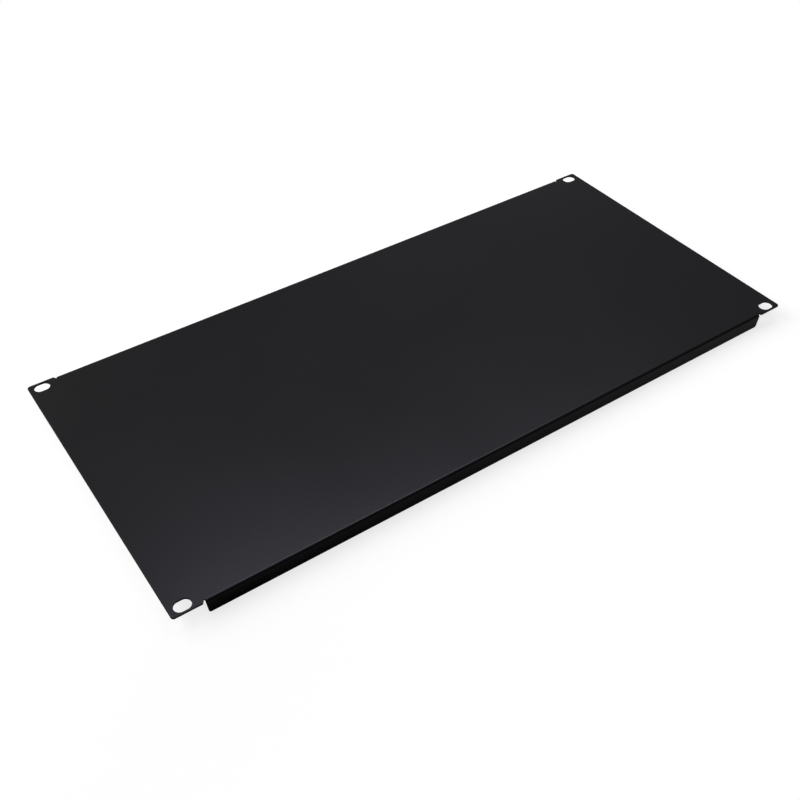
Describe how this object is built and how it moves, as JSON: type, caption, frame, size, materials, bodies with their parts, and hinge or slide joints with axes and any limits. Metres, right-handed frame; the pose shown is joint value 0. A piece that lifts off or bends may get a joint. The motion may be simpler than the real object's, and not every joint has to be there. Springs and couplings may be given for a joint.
{
  "type": "rack blanking panel",
  "caption": "Flat steel panel with two folded edges and slotted corner ears, which covers unused height in an equipment rack.",
  "frame": {"origin": "under the middle of the panel, level with the free edges of the two folded flanges, on which it lies", "axes": "+X along the panel's width, +Y along its height away from the viewer, +Z out of the visible face"},
  "size_m": [0.4826, 0.22, 0.0107],
  "materials": {
    "powder_coat": "black powder coat, fine texture, satin"
  },
  "bodies": {
    "root": {"blanking_panel": "powder_coat"}
  },
  "joints": []
}
